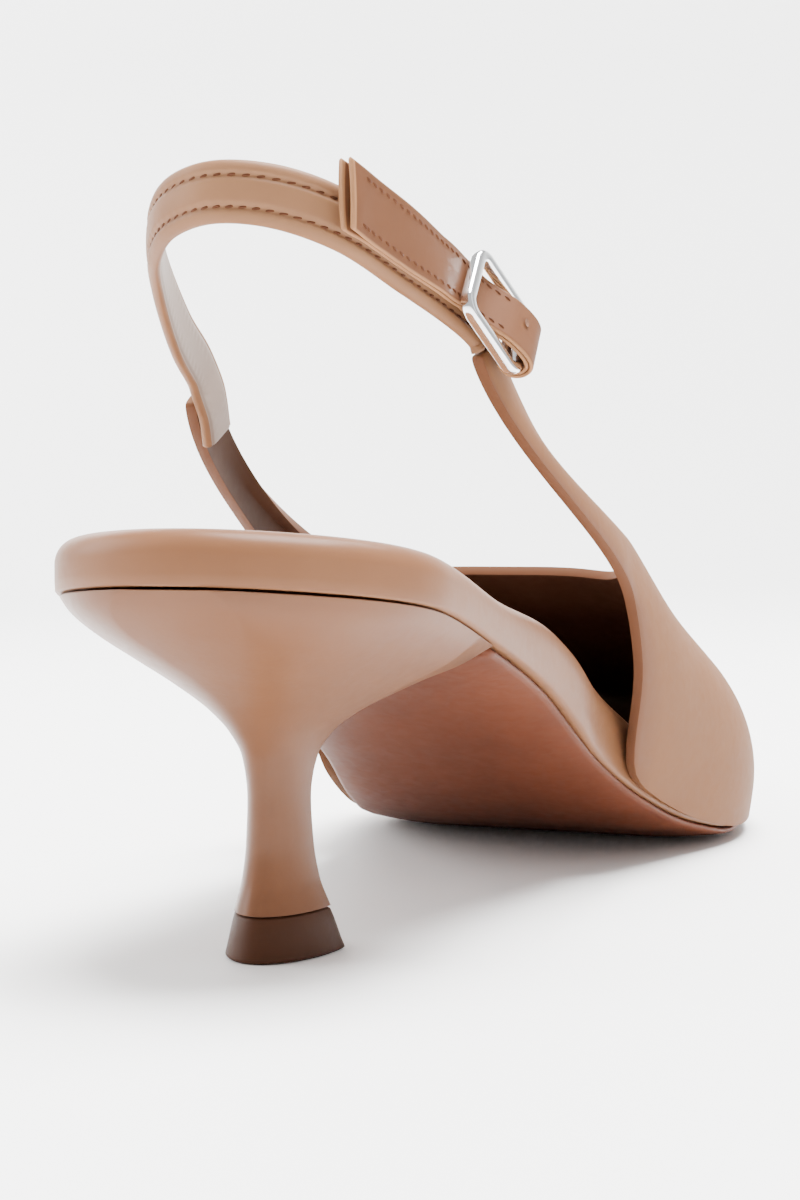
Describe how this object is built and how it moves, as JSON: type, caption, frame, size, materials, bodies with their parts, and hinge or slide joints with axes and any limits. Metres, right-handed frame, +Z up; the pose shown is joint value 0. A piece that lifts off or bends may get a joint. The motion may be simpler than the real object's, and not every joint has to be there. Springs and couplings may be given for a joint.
{
  "type": "slingback pump",
  "caption": "Womens leather slingback pump for the right foot, with a pointed toe, open sides, a flared kitten heel and a buckled heel strap",
  "frame": {"origin": "middle of the shoe's footprint on the floor", "axes": "+Y to the toe, +X to the outer side of the right foot, +Z up"},
  "size_m": [0.0844, 0.256, 0.1115],
  "materials": {
    "upper_leather": "smooth satin leather",
    "footbed_leather": "smooth satin leather",
    "sole_leather": "smooth sole leather",
    "heel_cover": "leather covered, satin gloss",
    "top_piece": "matte",
    "strap_leather": "smooth leather with stitched edges",
    "buckle_metal": "polished"
  },
  "bodies": {
    "root": {"upper": "upper_leather", "footbed": "footbed_leather", "outsole": "sole_leather", "heel": "heel_cover", "top_piece": "top_piece", "sling_strap": "strap_leather", "strap_tail": "strap_leather", "buckle": "buckle_metal"}
  },
  "joints": []
}
